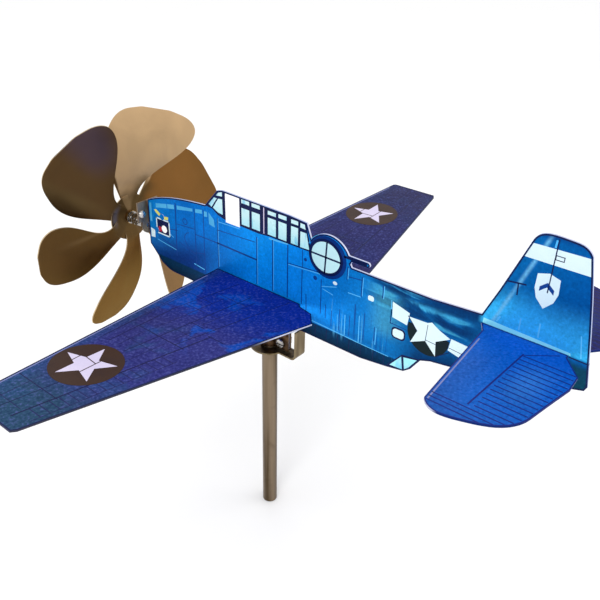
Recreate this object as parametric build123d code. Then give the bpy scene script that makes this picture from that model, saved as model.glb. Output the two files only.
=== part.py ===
"""Aeroplane wind spinner: a flat sheet-metal aeroplane that turns on a pole, with a six-blade rotor.

Frame: origin at the middle of the pole's open lower end, +Z up along the pole,
-Y towards the aeroplane's nose and +X towards its port wing tip. Millimetres.
"""
import os
from math import atan, cos, degrees, exp, pi, radians, sin

from build123d import *

# ---- driving dimensions -------------------------------------------------------------------
PLATE = 1.2                      # fuselage sheet
SKIN = 1.0                       # wing and tailplane sheet
SIDE = PLATE / 2                 # the fuselage's port and starboard faces
FIT = 0.1                        # clearance between sheets that are fastened face to face

POLE_R = 5.5
POLE_WALL = 1.0
POLE_TOP = 143.9
PLUG_DEPTH = 16.0
PLUG_R = 4.2                     # the tube's top is reamed to this radius for the plug
PLUG_SHOULDER = 1.5
PIN_R = 3.0
PIN_TOP = 162.6
BUSH_CLEARANCE = 0.06            # running fit of the two turning joints

WASHER_T = 0.8
STRAP_T = 1.2
STRAP_W = 10.0
STRAP_BEND = 4.2                 # outer radius of the strap's rear bend
DISC_R = 13.6
DISC_Z = 146.6                   # underside of the swivel bracket's disc
TAB_Y = 27.4                     # outer face of the bracket's rear tab
SLEEVE_R = 5.5
SLEEVE_TOP = 163.0
CAP_T = 1.6

CLIP_T = 1.2
CLIP_LOW = 149.0
CLIP_HIGH = 163.5
CLIP_REACH = 18.0
CLIP_SCREW = (12.5, 154.5)       # Y and Z of the clip's cross screw
M4_R = 2.0
RIVET_R = 1.5

BELLY_Z = 170.0
DECK_Z = 230.0
WING_Z = 190.0
SEMI_SPAN = 197.0
DIHEDRAL = degrees(atan(0.055))
FLANGE_DROP = 8.0
TAIL_Z = 227.2

AXLE_Z = 201.8
NOSE_Y = -119.8
BRACKET_T = 1.2
BRACKET_BACK = NOSE_Y - 0.3      # aft face of the nose bracket's front plate
AXLE_R = 2.5
M5_FLATS = 8.0
HUB_Y = -142.3
HUB_R = 18.0
ROTOR_T = 0.8
PETALS = 6
PETAL_PHASE = -16.0              # degrees from straight up, towards port

# One petal, by its radius from the axle: narrow at the root, widest near its end, rounded beyond.
PETAL_ROOT_R = 12.0
PETAL_TIP_R = 82.8
PETAL_WIDE_R = 65.0              # where a petal is widest
PETAL_ROOT_HALF = 7.0            # half its width at the root
PETAL_HALF = 32.5                # half its width where it is widest
PETAL_SQUARENESS = 2.6           # 2 rounds the end as an ellipse, more makes it squarer
PETAL_FORWARD_R = 28.0           # where its middle line lies furthest towards the leading side
PETAL_BACK_R = 80.0              # where it lies furthest towards the trailing side
PETAL_SWAY = 9.3                 # how far the middle line swings to either side of its mean
PETAL_SET_BACK = 1.9             # how far that mean lies towards the trailing side
PETAL_PITCH = 24.0               # degrees, reached within a few twist lengths of the root
PETAL_TWIST = 8.0
PETAL_DISH = 3.2                 # how far the sheet is dished aft, at the dish radius
PETAL_DISH_R = 37.0
PETAL_DISH_REACH = 32.5          # how far outside that radius the dish has run out
PETAL_SLICES = 12
PETAL_LAST_GAP = 0.2             # the last slice stops this far short of the tip


# ---- shared shapes ------------------------------------------------------------------------
def slab(low, high):
    """A box between two corners."""
    size = [high[i] - low[i] for i in range(3)]
    centre = [(high[i] + low[i]) / 2 for i in range(3)]
    return Pos(*centre) * Box(*size)


def rod_z(radius, low, high, x=0.0, y=0.0):
    return Pos(x, y, (low + high) / 2) * Cylinder(radius, high - low)


def rod_x(radius, low, high, y, z):
    return Pos((low + high) / 2, y, z) * Rot(0, 90, 0) * Cylinder(radius, high - low)


def rod_y(radius, low, high, x=0.0, z=AXLE_Z):
    return Pos(x, (low + high) / 2, z) * Rot(90, 0, 0) * Cylinder(radius, high - low)


def hex_y(flats, low, high, bore=0.0):
    """A hexagon nut or head along the rotor's axle, with softened corners."""
    corner_r = flats / 2 / cos(pi / 6)
    plane = Plane(origin=(0, high, AXLE_Z), z_dir=(0, -1, 0))
    body = extrude(plane * RegularPolygon(corner_r, 6), high - low)
    body = body & chamfer(rod_y(corner_r, low, high).edges(), 0.4)
    if bore > 0:
        body = body - rod_y(bore, low - 1, high + 1)
    return body


def sheet_yz(outline, low_x, high_x):
    """A sheet parallel to the fuselage, from a closed wire drawn in Y and Z."""
    plane = Plane(origin=(low_x, 0, 0), x_dir=(0, 1, 0), z_dir=(1, 0, 0))
    return extrude(plane * make_face(outline), high_x - low_x)


def domed_head(radius, seat, height, y, z):
    """A low rounded head on the port side (seat > 0) or the starboard side of the fuselage."""
    side = 1 if seat > 0 else -1
    head = rod_x(radius, min(seat, seat + side * height), max(seat, seat + side * height), y, z)
    rim = head.edges().group_by(Axis.X)[-1 if side > 0 else 0]
    return fillet(rim, height * 0.9)


def rivet_x(y, z, shank_r, grip, head_r, head_h):
    """A rivet across the fuselage; its shank fills holes of the same radius."""
    shank = rod_x(shank_r, -grip, grip, y, z)
    return shank + domed_head(head_r, grip, head_h, y, z) + domed_head(head_r, -grip, head_h, y, z)


# ---- mast: the fixed pole and the pivot that the aeroplane turns on ------------------------
def make_pole():
    """A tube, open below, whose top is reamed smaller for the plug."""
    step = POLE_TOP - PLUG_DEPTH
    return rod_z(POLE_R, 0, POLE_TOP) - rod_z(POLE_R - POLE_WALL, -1, step) - rod_z(PLUG_R, step, POLE_TOP + 1)


def make_pivot_plug():
    plug = rod_z(PLUG_R, POLE_TOP - PLUG_DEPTH, POLE_TOP)
    shoulder = chamfer(rod_z(POLE_R, POLE_TOP, POLE_TOP + PLUG_SHOULDER).edges().group_by(Axis.Z)[-1], 0.4)
    return plug + shoulder - rod_z(PIN_R, POLE_TOP - 10, POLE_TOP + 10)


def make_pivot_pin():
    pin = rod_z(PIN_R, POLE_TOP - 10, PIN_TOP)
    return fillet(pin.edges().group_by(Axis.Z)[-1], 2.6)


def make_thrust_washer():
    low = POLE_TOP + PLUG_SHOULDER
    return rod_z(6.5, low, low + WASHER_T) - rod_z(PIN_R, low - 1, low + 2)


# ---- vane: swivel bracket, bearing sleeve and the clip that holds the fuselage -------------
def make_swivel_bracket():
    """A round-ended strap bent up at the rear, with an ear folded against the fuselage."""
    ear_x = -SIDE - FIT
    half = STRAP_W / 2
    strap = slab((-half, 0, DISC_Z), (half, TAB_Y, DISC_Z + STRAP_T))
    tab = slab((-half, TAB_Y - STRAP_T, DISC_Z), (half, TAB_Y, BELLY_Z - 0.6))
    bent = strap + tab
    inner = bent.edges().filter_by(Axis.X).sort_by_distance((0, TAB_Y - STRAP_T, DISC_Z + STRAP_T))[0]
    bent = fillet(inner, STRAP_BEND - STRAP_T)
    outer = bent.edges().filter_by(Axis.X).sort_by_distance((0, TAB_Y, DISC_Z))[0]
    bent = fillet(outer, STRAP_BEND)
    neck = slab((-half, TAB_Y - STRAP_T, BELLY_Z - 2), (ear_x, TAB_Y, BELLY_Z + 12))
    ear = slab((ear_x - STRAP_T, TAB_Y - 15, BELLY_Z + 1), (ear_x, TAB_Y, BELLY_Z + 12))
    disc = rod_z(DISC_R, DISC_Z, DISC_Z + STRAP_T)
    bracket = bent + disc + neck + ear - rod_z(PIN_R + BUSH_CLEARANCE, DISC_Z - 1, DISC_Z + 3)
    return bracket - rod_x(RIVET_R, -5, 0, *ear_rivet_place())


def ear_rivet_place():
    return TAB_Y - 8.5, BELLY_Z + 6.5


def make_bearing_sleeve():
    low = DISC_Z + STRAP_T
    return rod_z(SLEEVE_R, low, SLEEVE_TOP) - rod_z(PIN_R + BUSH_CLEARANCE, low - 1, SLEEVE_TOP + 1)


def make_sleeve_cap():
    cap = rod_z(SLEEVE_R, SLEEVE_TOP, SLEEVE_TOP + CAP_T)
    return fillet(cap.edges().group_by(Axis.Z)[-1], 0.8)


def make_saddle_clip():
    """A strip wrapped round the sleeve, with two legs that pinch the fuselage's lower tab."""
    ring = rod_z(SLEEVE_R + CLIP_T, CLIP_LOW, CLIP_HIGH) - rod_z(SLEEVE_R, CLIP_LOW - 1, CLIP_HIGH + 1)
    ring = ring - slab((-SIDE - FIT, 0, CLIP_LOW - 1), (SIDE + FIT, 12, CLIP_HIGH + 1))
    clip = ring
    for side in (1, -1):
        inner = side * (SIDE + FIT)
        outer = side * (SIDE + FIT + CLIP_T)
        leg = slab((min(inner, outer), SLEEVE_R, CLIP_LOW), (max(inner, outer), CLIP_REACH, CLIP_HIGH))
        clip = clip + leg
    clip = clip - rod_z(SLEEVE_R, CLIP_LOW - 1, CLIP_HIGH + 1)
    return clip - rod_x(M4_R, -5, 5, *CLIP_SCREW)


def make_clip_screw():
    y, z = CLIP_SCREW
    seat = SIDE + FIT + CLIP_T
    head = fillet(rod_x(3.5, seat, seat + 2.6, y, z).edges().group_by(Axis.X)[-1], 1.4)
    slot = slab((seat + 1.5, y - 5, z - 0.45), (seat + 4, y + 5, z + 0.45))
    return rod_x(M4_R, -seat - 4.4, seat, y, z) + (head - slot)


def make_clip_nut():
    y, z = CLIP_SCREW
    seat = SIDE + FIT + CLIP_T
    plane = Plane(origin=(-seat - 3.2, y, z), z_dir=(1, 0, 0))
    nut = extrude(plane * RegularPolygon(7 / 2 / cos(pi / 6), 6), 3.2)
    return nut - rod_x(M4_R, -seat - 5, -seat + 1, y, z)


def make_ear_rivet():
    """Joins the swivel bracket's ear to the fuselage, with a low head on each side."""
    y, z = ear_rivet_place()
    shank = rod_x(RIVET_R, -SIDE - FIT - STRAP_T, SIDE, y, z)
    inner_head = rod_x(2.6, -SIDE - FIT - STRAP_T - 0.9, -SIDE - FIT - STRAP_T, y, z)
    return shank + inner_head + rod_x(2.6, SIDE, SIDE + 0.7, y, z)


# ---- vane: the aeroplane's own sheets -----------------------------------------------------
def fuselage_outline():
    """Nose, canopy, gun turret, deck, fin, tail and belly, in Y and Z, clockwise from the chin."""
    turret = (46.4, 229.7)
    gun_low, gun_high, gun_tip = 233.9, 237.1, 78.2
    chin = Polyline((-95, BELLY_Z + 0.4), (-100, 171.2), (-107.5, 174.5), (-115.6, 182.9), (NOSE_Y, 187))
    nose = Spline((NOSE_Y + 0.8, 222.4), (-104.7, 227.8), (-88.4, 231.6), (-58, 235.2))
    canopy = Polyline((-58, 235.2), (-45.8, 249), (-41, 250.3), (17.4, 249.6), (30.9, 248.6), (34.6, 238.8))
    hump = ThreePointArc((34.6, 238.8), (turret[0] + 2.5, 245.9), (63, gun_high))
    gun = Line((63, gun_high), (gun_tip - 1.6, gun_high))
    muzzle = ThreePointArc((gun_tip - 1.6, gun_high), (gun_tip, (gun_low + gun_high) / 2),
                           (gun_tip - 1.6, gun_low))
    under_gun = Polyline((gun_tip - 1.6, gun_low), (65.5, gun_low), (64.5, 232), (65.5, DECK_Z))
    deck = Polyline((65.5, DECK_Z), (121, DECK_Z), (150.2, 232.2))
    fin_front = Polyline((150.2, 232.2), (157.6, 250), (169.8, 282.2))
    fin_tip = Spline((169.8, 282.2), (174.2, 286.4), (180, 287.3), (187, 287), (194, 286), (198.6, 282))
    rudder = Spline((198.6, 282), (202.6, 262.6), (206, 243.5), (210.9, 213.6))
    tail = Polyline((210.9, 213.6), (209.6, 210.9), (204.5, 209.4), (136, 191.3), (124, 189.4), (117.7, 187.1))
    step = Polyline((117.7, 187.1), (111.8, 178.3), (107.3, 174.7), (94.6, 172.4), (76, BELLY_Z),
                    (17.5, BELLY_Z), (17.5, CLIP_LOW + 1), (8, CLIP_LOW + 1), (8, BELLY_Z), (-60, BELLY_Z),
                    (-95, BELLY_Z + 0.4))
    front = Line((NOSE_Y, 187), (NOSE_Y + 0.8, 222.4))
    return Wire(chin.edges() + front.edges() + nose.edges() + canopy.edges() + hump.edges() + gun.edges()
                + muzzle.edges() + under_gun.edges() + deck.edges() + fin_front.edges() + fin_tip.edges()
                + rudder.edges() + tail.edges() + step.edges())


def wing_rivet_places():
    return [(y, WING_Z - 4.5) for y in (-40, -18, 4, 20)]


def tail_rivet_places():
    return [(y, TAIL_Z - 4.2) for y in (160, 176, 191)]


def nose_rivet_places():
    return [(-111, AXLE_Z - 1), (-104, AXLE_Z + 11)]


def dome_rivet_place():
    return 6.0, AXLE_Z + 10.2


def make_fuselage_plate():
    plate = sheet_yz(fuselage_outline(), -SIDE, SIDE)
    for y, z in wing_rivet_places() + tail_rivet_places() + nose_rivet_places() + [ear_rivet_place()]:
        plate = plate - rod_x(RIVET_R, -2, 2, y, z)
    return plate - rod_x(M4_R, -2, 2, *CLIP_SCREW)


def make_wing(side):
    """One tapered wing panel with dihedral, and its root flange bent down along the fuselage."""
    root_x = SIDE + FIT
    panel_points = [(root_x, -48), (SEMI_SPAN, -29.3), (SEMI_SPAN, 9.4), (194.2, 11.4), (15.6, 48.8),
                    (6, 40.4), (3.6, 29.5), (root_x, 26.5)]
    panel = extrude(make_face(Polyline(*panel_points, close=True)), -SKIN)
    lead_tip = panel.edges().filter_by(Axis.Z).sort_by_distance((SEMI_SPAN, -29.3, 0))[0]
    panel = fillet(lead_tip, 3.0)
    hinge = Pos(root_x, 0, WING_Z) * Rot(0, -DIHEDRAL, 0) * Pos(-root_x, 0, 0)
    flange = slab((root_x, -46, WING_Z - FLANGE_DROP), (root_x + SKIN, 25, WING_Z - 0.2))
    wing = hinge * panel + flange
    for y, z in wing_rivet_places():
        wing = wing - rod_x(RIVET_R, 0, 4, y, z)
    return wing if side > 0 else wing.mirror(Plane.YZ)


def make_tailplane(side):
    """One flat tailplane half with a rounded tip, and its root flange bent down."""
    root_x = SIDE + FIT
    front = Polyline((root_x, 150.8), (7.4, 154.8), (76.4, 161))
    tip = Spline((76.4, 161), (81.6, 168), (79.6, 181.5), (72, 197), (58.8, 204.4))
    rear = Polyline((58.8, 204.4), (42.8, 207), (27.1, 209.8), (15.7, 209.1), (3, 198.6), (root_x, 198.4))
    close = Line((root_x, 198.4), (root_x, 150.8))
    outline = Wire(front.edges() + tip.edges() + rear.edges() + close.edges())
    panel = Pos(0, 0, TAIL_Z) * extrude(make_face(outline), -SKIN)
    flange = slab((root_x, 154, TAIL_Z - 7.5), (root_x + SKIN, 197, TAIL_Z))
    tailplane = panel + flange
    for y, z in tail_rivet_places():
        tailplane = tailplane - rod_x(RIVET_R, 0, 4, y, z)
    return tailplane if side > 0 else tailplane.mirror(Plane.YZ)


def make_rivets(places, grip, head_r=2.6, head_h=1.0):
    return [rivet_x(y, z, RIVET_R, grip, head_r, head_h) for y, z in places]


# ---- vane: nose bracket and the rotor's axle ----------------------------------------------
def make_nose_bracket():
    """An angle: a front plate across the nose and a leg along the fuselage's starboard side."""
    low_y = BRACKET_BACK - BRACKET_T
    half = 9.6
    plate = slab((-half, low_y, AXLE_Z + 4), (half, BRACKET_BACK, AXLE_Z + 19.8))
    boss = rod_y(6.5, low_y, BRACKET_BACK)
    waist = slab((-6.5, low_y, AXLE_Z), (6.5, BRACKET_BACK, AXLE_Z + 5))
    leg_x = -SIDE - FIT
    leg = slab((leg_x - BRACKET_T, low_y, AXLE_Z - 5), (leg_x, NOSE_Y + 20, AXLE_Z + 15))
    bracket = plate + boss + waist + leg
    for y, z in nose_rivet_places():
        bracket = bracket - rod_x(RIVET_R, -4, 0, y, z)
    x, z = dome_rivet_place()
    bracket = bracket - rod_y(RIVET_R, low_y - 1, BRACKET_BACK + 1, x, z)
    return bracket - rod_y(AXLE_R, low_y - 1, BRACKET_BACK + 1)


def make_nose_rivets():
    """Two flat rivets through the bracket's leg and the fuselage."""
    rivets = []
    seat = SIDE + FIT + BRACKET_T
    for y, z in nose_rivet_places():
        rivet = rod_x(RIVET_R, -seat, SIDE, y, z) + rod_x(2.4, SIDE, SIDE + 0.4, y, z)
        rivets.append(rivet + rod_x(2.6, -seat - 0.9, -seat, y, z))
    return rivets


def make_dome_rivet():
    """A domed rivet in the front plate's port side."""
    x, z = dome_rivet_place()
    low_y = BRACKET_BACK - BRACKET_T
    ball = Pos(x, BRACKET_BACK - 0.9, z) * Sphere(3.4)
    dome = ball & rod_y(3.3, BRACKET_BACK, BRACKET_BACK + 3, x, z)
    return rod_y(RIVET_R, low_y, BRACKET_BACK, x, z) + dome + rod_y(2.8, low_y - 0.8, low_y, x, z)


def make_axle_bolt():
    head = hex_y(M5_FLATS, -151.0, -147.5)
    return head + rod_y(AXLE_R, -147.5, BRACKET_BACK)


def make_lock_nuts():
    """One nut against the bracket and a jammed pair further forward."""
    front = BRACKET_BACK - BRACKET_T
    spans = [(front - 4.0, front), (-132.6, -129.8), (-135.6, -132.8)]
    return [hex_y(M5_FLATS, low, high, AXLE_R) for low, high in spans]


def make_retaining_nut():
    return hex_y(M5_FLATS, -139.4, -136.9, AXLE_R)


# ---- rotor --------------------------------------------------------------------------------
def petal_half_width(radius):
    """Eases out from the root to the widest place, then closes in a rounded end."""
    if radius < PETAL_WIDE_R:
        reach = (radius - PETAL_ROOT_R) / (PETAL_WIDE_R - PETAL_ROOT_R)
        return PETAL_ROOT_HALF + (PETAL_HALF - PETAL_ROOT_HALF) * (1 - cos(pi * reach)) / 2
    reach = (radius - PETAL_WIDE_R) / (PETAL_TIP_R - PETAL_WIDE_R)
    return PETAL_HALF * (1 - reach ** PETAL_SQUARENESS) ** (1 / PETAL_SQUARENESS)


def petal_middle(radius):
    """How far the middle line lies towards the leading side."""
    swing = (radius - PETAL_FORWARD_R) / (PETAL_BACK_R - PETAL_FORWARD_R)
    return PETAL_SWAY * cos(pi * swing) - PETAL_SET_BACK


def petal_dish(radius):
    """How far aft of the hub the sheet lies: a parabola to each side of the dish radius."""
    reach = PETAL_DISH_R - PETAL_ROOT_R if radius < PETAL_DISH_R else PETAL_DISH_REACH
    return PETAL_DISH * (1 - ((radius - PETAL_DISH_R) / reach) ** 2)


def petal_section(radius):
    """A thin slice of one petal that points straight up, turned to its pitch."""
    turn = radians(PETAL_PITCH * (1 - exp(-(radius - PETAL_ROOT_R) / PETAL_TWIST)))
    middle = petal_middle(radius)
    origin = (middle * cos(turn), HUB_Y + petal_dish(radius) - middle * sin(turn), AXLE_Z + radius)
    plane = Plane(origin=origin, x_dir=(cos(turn), -sin(turn), 0), z_dir=(0, 0, 1))
    return plane * Rectangle(2 * petal_half_width(radius), ROTOR_T)


def petal_radii():
    """Where the slices are cut: closer together towards the rounded end."""
    length = PETAL_TIP_R - PETAL_LAST_GAP - PETAL_ROOT_R
    return [PETAL_ROOT_R + length * sin(pi / 2 * i / (PETAL_SLICES - 1)) for i in range(PETAL_SLICES)]


def make_six_blade_rotor():
    """One stamped sheet: a flat hub and six broad petals, twisted at their roots."""
    petal = loft([petal_section(radius) for radius in petal_radii()])
    rotor = rod_y(HUB_R, HUB_Y - ROTOR_T / 2, HUB_Y + ROTOR_T / 2)
    to_axle = Pos(0, 0, AXLE_Z)
    for i in range(PETALS):
        turn = to_axle * Rot(0, PETAL_PHASE + i * 360 / PETALS, 0) * Pos(0, 0, -AXLE_Z)
        rotor = rotor + turn * petal
    return rotor - rod_y(3.9, HUB_Y - 4, HUB_Y + 4)


def make_rotor_bush():
    """A flanged bush staked into the hub; it runs on the axle bolt."""
    bush = rod_y(3.9, HUB_Y - 2.6, HUB_Y + 1.6) + rod_y(5.2, HUB_Y + ROTOR_T / 2, HUB_Y + 1.4)
    return bush - rod_y(AXLE_R + BUSH_CLEARANCE, HUB_Y - 5, HUB_Y + 5)


def make_axle_washers():
    """The washers before and behind the rotor's bush, loose on the bolt."""
    spans = [(-147.2, -146.4), (-140.5, -139.8)]
    return [rod_y(4.8, low, high) - rod_y(AXLE_R + BUSH_CLEARANCE, low - 1, high + 1) for low, high in spans]


# ---- every sub-part, by the name of its file ----------------------------------------------
WING_GRIP = SIDE + FIT + SKIN
NODES = {
    "pole": make_pole(),
    "pivot_plug": make_pivot_plug(),
    "pivot_pin": make_pivot_pin(),
    "thrust_washer": make_thrust_washer(),
    "swivel_bracket": make_swivel_bracket(),
    "bearing_sleeve": make_bearing_sleeve(),
    "sleeve_cap": make_sleeve_cap(),
    "saddle_clip": make_saddle_clip(),
    "clip_screw": make_clip_screw(),
    "clip_nut": make_clip_nut(),
    "ear_rivet": make_ear_rivet(),
    "fuselage_plate": make_fuselage_plate(),
    "port_wing": make_wing(1),
    "starboard_wing": make_wing(-1),
    "wing_rivets": make_rivets(wing_rivet_places(), WING_GRIP),
    "port_tailplane": make_tailplane(1),
    "starboard_tailplane": make_tailplane(-1),
    "tailplane_rivets": make_rivets(tail_rivet_places(), WING_GRIP),
    "nose_bracket": make_nose_bracket(),
    "nose_rivets": make_nose_rivets(),
    "dome_rivet": make_dome_rivet(),
    "axle_bolt": make_axle_bolt(),
    "lock_nuts": make_lock_nuts(),
    "retaining_nut": make_retaining_nut(),
    "axle_washers": make_axle_washers(),
    "rotor_bush": make_rotor_bush(),
    "six_blade_rotor": make_six_blade_rotor(),
}

os.makedirs("parts", exist_ok=True)
for name, shape in NODES.items():
    solid = Compound(children=shape) if isinstance(shape, list) else shape
    export_step(solid, f"parts/{name}.step")
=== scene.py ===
"""The looks of the aeroplane wind spinner: printed artwork, bronze rotor, hardware, light and camera."""
from math import atan, cos, pi, radians, sin

import bmesh
import bpy
from mathutils import Matrix, Vector


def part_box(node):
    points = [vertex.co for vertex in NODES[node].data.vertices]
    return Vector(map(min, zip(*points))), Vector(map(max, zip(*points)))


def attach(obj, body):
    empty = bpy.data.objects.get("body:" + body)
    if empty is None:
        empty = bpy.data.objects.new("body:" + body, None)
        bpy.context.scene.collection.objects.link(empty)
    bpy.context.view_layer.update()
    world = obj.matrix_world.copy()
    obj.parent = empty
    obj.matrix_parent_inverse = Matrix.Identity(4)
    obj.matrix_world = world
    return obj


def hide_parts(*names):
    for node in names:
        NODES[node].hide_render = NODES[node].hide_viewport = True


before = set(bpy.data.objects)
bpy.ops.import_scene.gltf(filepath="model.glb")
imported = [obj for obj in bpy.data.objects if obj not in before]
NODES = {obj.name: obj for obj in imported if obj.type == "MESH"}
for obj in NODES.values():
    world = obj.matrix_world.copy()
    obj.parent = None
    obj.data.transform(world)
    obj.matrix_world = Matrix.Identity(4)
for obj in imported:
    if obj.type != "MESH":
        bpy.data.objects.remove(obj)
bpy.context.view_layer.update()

MM = 0.001

# ---- the model's own sizes, in millimetres ----------------------------------------------------
def node_box(name):
    """The lowest and highest corners of a CAD node, as the frame gives them."""
    low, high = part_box(name)
    return low / MM, high / MM


SIDE = node_box("fuselage_plate")[1].x
SEMI_SPAN = node_box("port_wing")[1].x
TAIL_Z = node_box("port_tailplane")[1].z
# these repeat dimensions of the CAD that no box gives
WING_Z = 190.0
FIT = 0.1
SKIN = 1.0
DIHEDRAL = atan(0.055)
AXLE_Z = 201.8
PETALS = 6


# ---- node graphs for materials ---------------------------------------------------------------
STUDIO_GAIN = 1.2                # how much brighter than its own colour a surface looks in this light


def srgb(r, g, b):
    """The linear base colour of a surface that looks like this 8-bit sRGB colour in the studio light."""
    def channel(v):
        v = v / 255
        return (v / 12.92 if v <= 0.04045 else ((v + 0.055) / 1.055) ** 2.4) / STUDIO_GAIN
    return (channel(r), channel(g), channel(b), 1.0)


class Graph:
    """A small helper that builds one material's nodes."""

    def __init__(self, name):
        self.material = bpy.data.materials.new(name)
        self.material.use_nodes = True
        self.tree = self.material.node_tree
        self.shader = self.tree.nodes["Principled BSDF"]
        self.coords = self.tree.nodes.new("ShaderNodeTexCoord").outputs["Object"]
        split = self.tree.nodes.new("ShaderNodeSeparateXYZ")
        self.tree.links.new(self.coords, split.inputs[0])
        self.x, self.y, self.z = split.outputs

    def put(self, socket, value):
        if isinstance(value, bpy.types.NodeSocket):
            self.tree.links.new(value, socket)
        else:
            socket.default_value = value

    def math(self, operation, a, b=0.0, c=0.0):
        node = self.tree.nodes.new("ShaderNodeMath")
        node.operation = operation
        for socket, value in zip(node.inputs, (a, b, c)):
            self.put(socket, value)
        return node.outputs[0]

    def span(self, value, low, high, out_low=0.0, out_high=1.0, smooth=True):
        """Maps low..high onto out_low..out_high and clamps."""
        node = self.tree.nodes.new("ShaderNodeMapRange")
        node.interpolation_type = "SMOOTHSTEP" if smooth else "LINEAR"
        for socket, v in zip(node.inputs, (value, low, high, out_low, out_high)):
            self.put(socket, v)
        return node.outputs[0]

    def band(self, value, low, high, soft):
        """1 between low and high, with soft edges."""
        up = self.span(value, low - soft, low + soft)
        down = self.span(value, high - soft, high + soft, 1.0, 0.0)
        return self.math("MULTIPLY", up, down)

    def noise(self, scale, detail=4.0, stretch=(1, 1, 1), distort=0.0, offset=(0, 0, 0)):
        mapping = self.tree.nodes.new("ShaderNodeMapping")
        self.put(mapping.inputs["Vector"], self.coords)
        mapping.inputs["Scale"].default_value = stretch
        mapping.inputs["Location"].default_value = offset
        node = self.tree.nodes.new("ShaderNodeTexNoise")
        self.put(node.inputs["Vector"], mapping.outputs[0])
        node.inputs["Scale"].default_value = scale
        node.inputs["Detail"].default_value = detail
        node.inputs["Distortion"].default_value = distort
        return node.outputs["Fac"]

    def mix(self, fac, a, b, mode="MIX"):
        node = self.tree.nodes.new("ShaderNodeMix")
        node.data_type = "RGBA"
        node.blend_type = mode
        self.put(node.inputs["Factor"], fac)
        self.put(node.inputs[6], a)
        self.put(node.inputs[7], b)
        return node.outputs[2]

    def ramp(self, value, stops):
        node = self.tree.nodes.new("ShaderNodeValToRGB")
        self.put(node.inputs[0], value)
        ramp = node.color_ramp
        while len(ramp.elements) < len(stops):
            ramp.elements.new(0.5)
        for element, (at, colour) in zip(ramp.elements, stops):
            element.position = at
            element.color = colour
        return node.outputs[0]

    def value(self, colour, factor):
        """The same colour, brighter or darker by a factor."""
        node = self.tree.nodes.new("ShaderNodeHueSaturation")
        self.put(node.inputs["Color"], colour)
        self.put(node.inputs["Value"], factor)
        return node.outputs[0]

    def bump(self, height, strength, distance=0.0002):
        node = self.tree.nodes.new("ShaderNodeBump")
        node.inputs["Strength"].default_value = strength
        node.inputs["Distance"].default_value = distance
        self.put(node.inputs["Height"], height)
        self.put(self.shader.inputs["Normal"], node.outputs[0])

    def facing(self, axis):
        """How far the true surface normal points along one of the object's own axes, either way."""
        geometry = self.tree.nodes.new("ShaderNodeNewGeometry")
        turn = self.tree.nodes.new("ShaderNodeVectorTransform")
        turn.vector_type = "NORMAL"
        turn.convert_from = "WORLD"
        turn.convert_to = "OBJECT"
        self.put(turn.inputs[0], geometry.outputs["True Normal"])
        split = self.tree.nodes.new("ShaderNodeSeparateXYZ")
        self.put(split.inputs[0], turn.outputs[0])
        return self.math("ABSOLUTE", split.outputs[axis])

    def finish(self, colour, roughness=0.4, metallic=0.0, gloss=0.5, tint=(1, 1, 1, 1)):
        self.put(self.shader.inputs["Base Color"], colour)
        self.put(self.shader.inputs["Roughness"], roughness)
        self.shader.inputs["Metallic"].default_value = metallic
        self.shader.inputs["Specular IOR Level"].default_value = gloss
        self.shader.inputs["Specular Tint"].default_value = tint
        return self.material


CUT_EDGE = srgb(216, 218, 240)
PRINT_METAL = 0.35
PRINT_GLOSS = 0.12
BLUE_TINT = (0.15, 0.4, 1.0, 1.0)
SHEET_GRAIN = 1400.0


def with_cut_edge(g, colour, axis, edge_colour=CUT_EDGE):
    """Gives a sheet's cut edge, which faces away from its thin axis, a colour of its own."""
    edge = g.span(g.facing(axis), 0.5, 0.8, 1.0, 0.0)
    return g.mix(edge, colour, edge_colour)


def printed_finish(g, body, cloud_scale, smoothest, roughest, grain):
    """The printed sheets' fine bump and slightly uneven gloss."""
    g.bump(g.noise(SHEET_GRAIN, 3.0), grain)
    roughness = g.span(g.noise(cloud_scale, 3.0), 0.3, 0.7, smoothest, roughest, False)
    return g.finish(body, roughness, PRINT_METAL, PRINT_GLOSS, BLUE_TINT)


def print_grain(g, colour, light, dark, amount):
    """The printed sheet's light and dark specks, over a soft clouding with a fine mottle in it."""
    fine = g.noise(620.0, 3.0)
    mottle = g.math("MULTIPLY", g.noise(900.0, 2.0), 0.6)
    cloud = g.math("ADD", g.noise(28.0, 5.0, distort=0.4), mottle)
    colour = g.mix(g.span(fine, 0.5, 0.72, 0.0, amount), colour, light)
    colour = g.mix(g.span(fine, 0.28, 0.5, amount, 0.0), colour, dark)
    return g.value(colour, g.span(cloud, 0.55, 1.05, 0.84, 1.16, False))


def patch(g, height, front, back, soft, low, high, soft_height):
    """1 in one patch of the fuselage's side, with soft edges."""
    return g.math("MULTIPLY", g.band(g.y, front, back, soft), g.band(height, low, high, soft_height))


def fuselage_blue_and_painted_light(g):
    """The blue that drifts from nose to tail, with a brighter stretch over the wing root that is painted
    light, offsetting the wing's shade.
    """
    along = g.span(g.y, -0.12, 0.215, 0.0, 1.0, False)
    # the stops at 0.34 and 0.46 are brighter: painted light over the wing root
    return g.ramp(along, [(0.0, srgb(4, 130, 214)), (0.12, srgb(2, 116, 214)), (0.24, srgb(2, 126, 222)),
                          (0.34, srgb(6, 156, 255)), (0.46, srgb(14, 148, 250)), (0.54, srgb(10, 126, 214)),
                          (0.62, srgb(10, 122, 200)), (0.7, srgb(4, 86, 148)), (0.84, srgb(4, 98, 168)),
                          (1.0, srgb(4, 84, 160))])


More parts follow.
